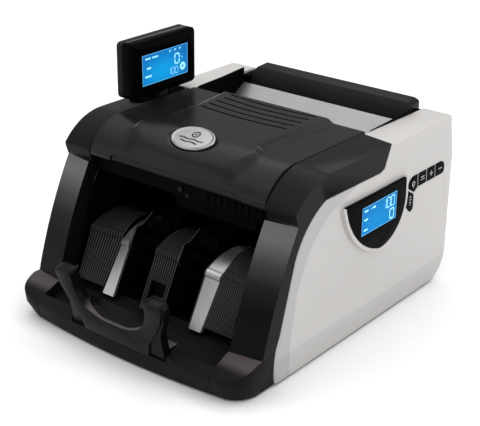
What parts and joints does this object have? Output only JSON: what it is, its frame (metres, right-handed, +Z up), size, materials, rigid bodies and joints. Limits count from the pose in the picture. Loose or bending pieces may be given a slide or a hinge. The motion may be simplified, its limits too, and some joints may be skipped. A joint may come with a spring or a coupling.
{
  "type": "banknote counting machine",
  "caption": "Desktop banknote counter: sloped hopper, hinged vented lid, ribbed stacker pocket with impellers, sliding note stop, side screen with keys and a swivelling customer display.",
  "frame": {"origin": "middle of the footprint on the surface the machine stands on, at the centre of the bounding box", "axes": "+Z up; the stacker side that the operator faces is -Y; +X is the machine's right seen from the front, the side with the screen and keys"},
  "size_m": [0.253, 0.3182, 0.2199],
  "materials": {
    "white_plastic": "satin, faint moulded grain",
    "black_plastic": "satin black, soft reflections",
    "dark_plastic": "matt black",
    "ribbed_plastic": "matt charcoal",
    "rubber": "matt",
    "zinc_steel": "zinc plated",
    "shaft_steel": "ground",
    "stainless": "brushed along the note direction",
    "badge_metal": "brushed, polished rim",
    "sensor_window": "dark infrared window",
    "motor_can": "grey paint",
    "brass_pulley": "turned",
    "circuit_board": "green solder mask",
    "gloss_black": "high gloss black",
    "lcd_blue": "backlit blue liquid-crystal screen",
    "key_black": "satin black with pale symbols"
  },
  "bodies": {
    "chassis": {"base_tray": "black_plastic", "centre_stacker_block": "ribbed_plastic", "control_board": "circuit_board", "cover_screws": "zinc_steel", "display_bezel": "gloss_black", "display_foot": "dark_plastic", "drive_belts": "rubber", "exit_beam": "dark_plastic", "feed_motor": "motor_can", "foot_pads": "rubber", "frame_plates": "zinc_steel", "guide_strips": "stainless", "hopper_bar": "black_plastic", "hopper_plate": "stainless", "hopper_walls": "dark_plastic", "left_cover": "white_plastic", "left_front_frame": "black_plastic", "left_stacker_block": "ribbed_plastic", "lid_hinge_pins": "shaft_steel", "lower_guide": "stainless", "note_sensors": "sensor_window", "note_strippers": "ribbed_plastic", "pinch_rollers": "dark_plastic", "power_board": "circuit_board", "power_inlet": "dark_plastic", "rear_panel": "dark_plastic", "retard_block": "dark_plastic", "right_cover": "white_plastic", "right_front_frame": "black_plastic", "right_stacker_block": "ribbed_plastic", "sensor_bar": "dark_plastic", "shaft_bearings": "shaft_steel", "side_boards": "circuit_board", "side_lcd": "lcd_blue", "stacker_back": "dark_plastic", "stacker_floor": "dark_plastic", "switch_frame": "dark_plastic"},
    "lid": {"lid": "black_plastic", "lid_badge": "badge_metal"},
    "note_stop": {"note_stop": "black_plastic"},
    "display": {"display_shell": "dark_plastic", "display_front": "gloss_black", "display_lcd": "lcd_blue"},
    "feed": {"feed_shaft": "shaft_steel", "feed_rollers": "rubber", "encoder_disc": "dark_plastic"},
    "pickup": {"pickup_shaft": "shaft_steel", "pickup_rollers": "rubber"},
    "exit": {"exit_shaft": "shaft_steel", "exit_rollers": "rubber"},
    "impeller": {"impeller_shaft": "shaft_steel", "impellers": "rubber"},
    "motor_rotor": {"motor_pulley": "brass_pulley"},
    "rocker": {"switch_rocker": "dark_plastic"},
    "gap_knob": {"gap_knob": "dark_plastic"},
    "key_1": {"key_1": "key_black"},
    "key_2": {"key_2": "key_black"},
    "key_3": {"key_3": "key_black"},
    "key_4": {"key_4": "key_black"},
    "key_5": {"key_5": "key_black"}
  },
  "joints": [
    {"name": "lid_hinge", "type": "hinge", "parent": "chassis", "child": "lid", "pos_m": [0, 0.046, 0.1575], "axis": [-1, 0, 0], "range_deg": [0, 70]},
    {"name": "note_stop_slide", "type": "slide", "parent": "chassis", "child": "note_stop", "axis": [0, -1, 0], "range_m": [0, 0.018]},
    {"name": "display_swivel", "type": "hinge", "parent": "chassis", "child": "display", "pos_m": [-0.1075, 0.021, 0.165], "axis": [0, 0, 1], "range_deg": [-90, 35]},
    {"name": "feed_spin", "type": "hinge", "parent": "chassis", "child": "feed", "pos_m": [0, 0.05, 0.098], "axis": [1, 0, 0], "continuous": true},
    {"name": "pickup_spin", "type": "hinge", "parent": "chassis", "child": "pickup", "pos_m": [0, 0.09197, 0.11534], "axis": [1, 0, 0], "continuous": true},
    {"name": "exit_spin", "type": "hinge", "parent": "chassis", "child": "exit", "pos_m": [0, -0.028, 0.112], "axis": [1, 0, 0], "continuous": true},
    {"name": "impeller_spin", "type": "hinge", "parent": "chassis", "child": "impeller", "pos_m": [0, -0.052, 0.062], "axis": [1, 0, 0], "continuous": true},
    {"name": "motor_spin", "type": "hinge", "parent": "chassis", "child": "motor_rotor", "pos_m": [0, 0.082, 0.038], "axis": [1, 0, 0], "continuous": true},
    {"name": "rocker_tilt", "type": "hinge", "parent": "chassis", "child": "rocker", "pos_m": [-0.0325, 0.1525, 0.032], "axis": [1, 0, 0], "range_deg": [-16, 0]},
    {"name": "gap_screw_turn", "type": "hinge", "parent": "chassis", "child": "gap_knob", "pos_m": [0, 0.157, 0.128], "axis": [0, 1, 0], "range_deg": [-180, 180]},
    {"name": "key_1_press", "type": "slide", "parent": "chassis", "child": "key_1", "axis": [-1, 0, 0], "range_m": [0, 0.001], "stiffness_N_per_m": 600, "springref_m": -0.0005},
    {"name": "key_2_press", "type": "slide", "parent": "chassis", "child": "key_2", "axis": [-1, 0, 0], "range_m": [0, 0.001], "stiffness_N_per_m": 600, "springref_m": -0.0005},
    {"name": "key_3_press", "type": "slide", "parent": "chassis", "child": "key_3", "axis": [-1, 0, 0], "range_m": [0, 0.001], "stiffness_N_per_m": 600, "springref_m": -0.0005},
    {"name": "key_4_press", "type": "slide", "parent": "chassis", "child": "key_4", "axis": [-1, 0, 0], "range_m": [0, 0.001], "stiffness_N_per_m": 600, "springref_m": -0.0005},
    {"name": "key_5_press", "type": "slide", "parent": "chassis", "child": "key_5", "axis": [-1, 0, 0], "range_m": [0, 0.001], "stiffness_N_per_m": 600, "springref_m": -0.0005}
  ],
  "couplings": [
    {"joint": "motor_spin", "follows": "feed_spin", "ratio": 2.3333},
    {"joint": "pickup_spin", "follows": "feed_spin", "ratio": 1},
    {"joint": "exit_spin", "follows": "feed_spin", "ratio": 1.5},
    {"joint": "impeller_spin", "follows": "feed_spin", "ratio": 0.85714}
  ]
}
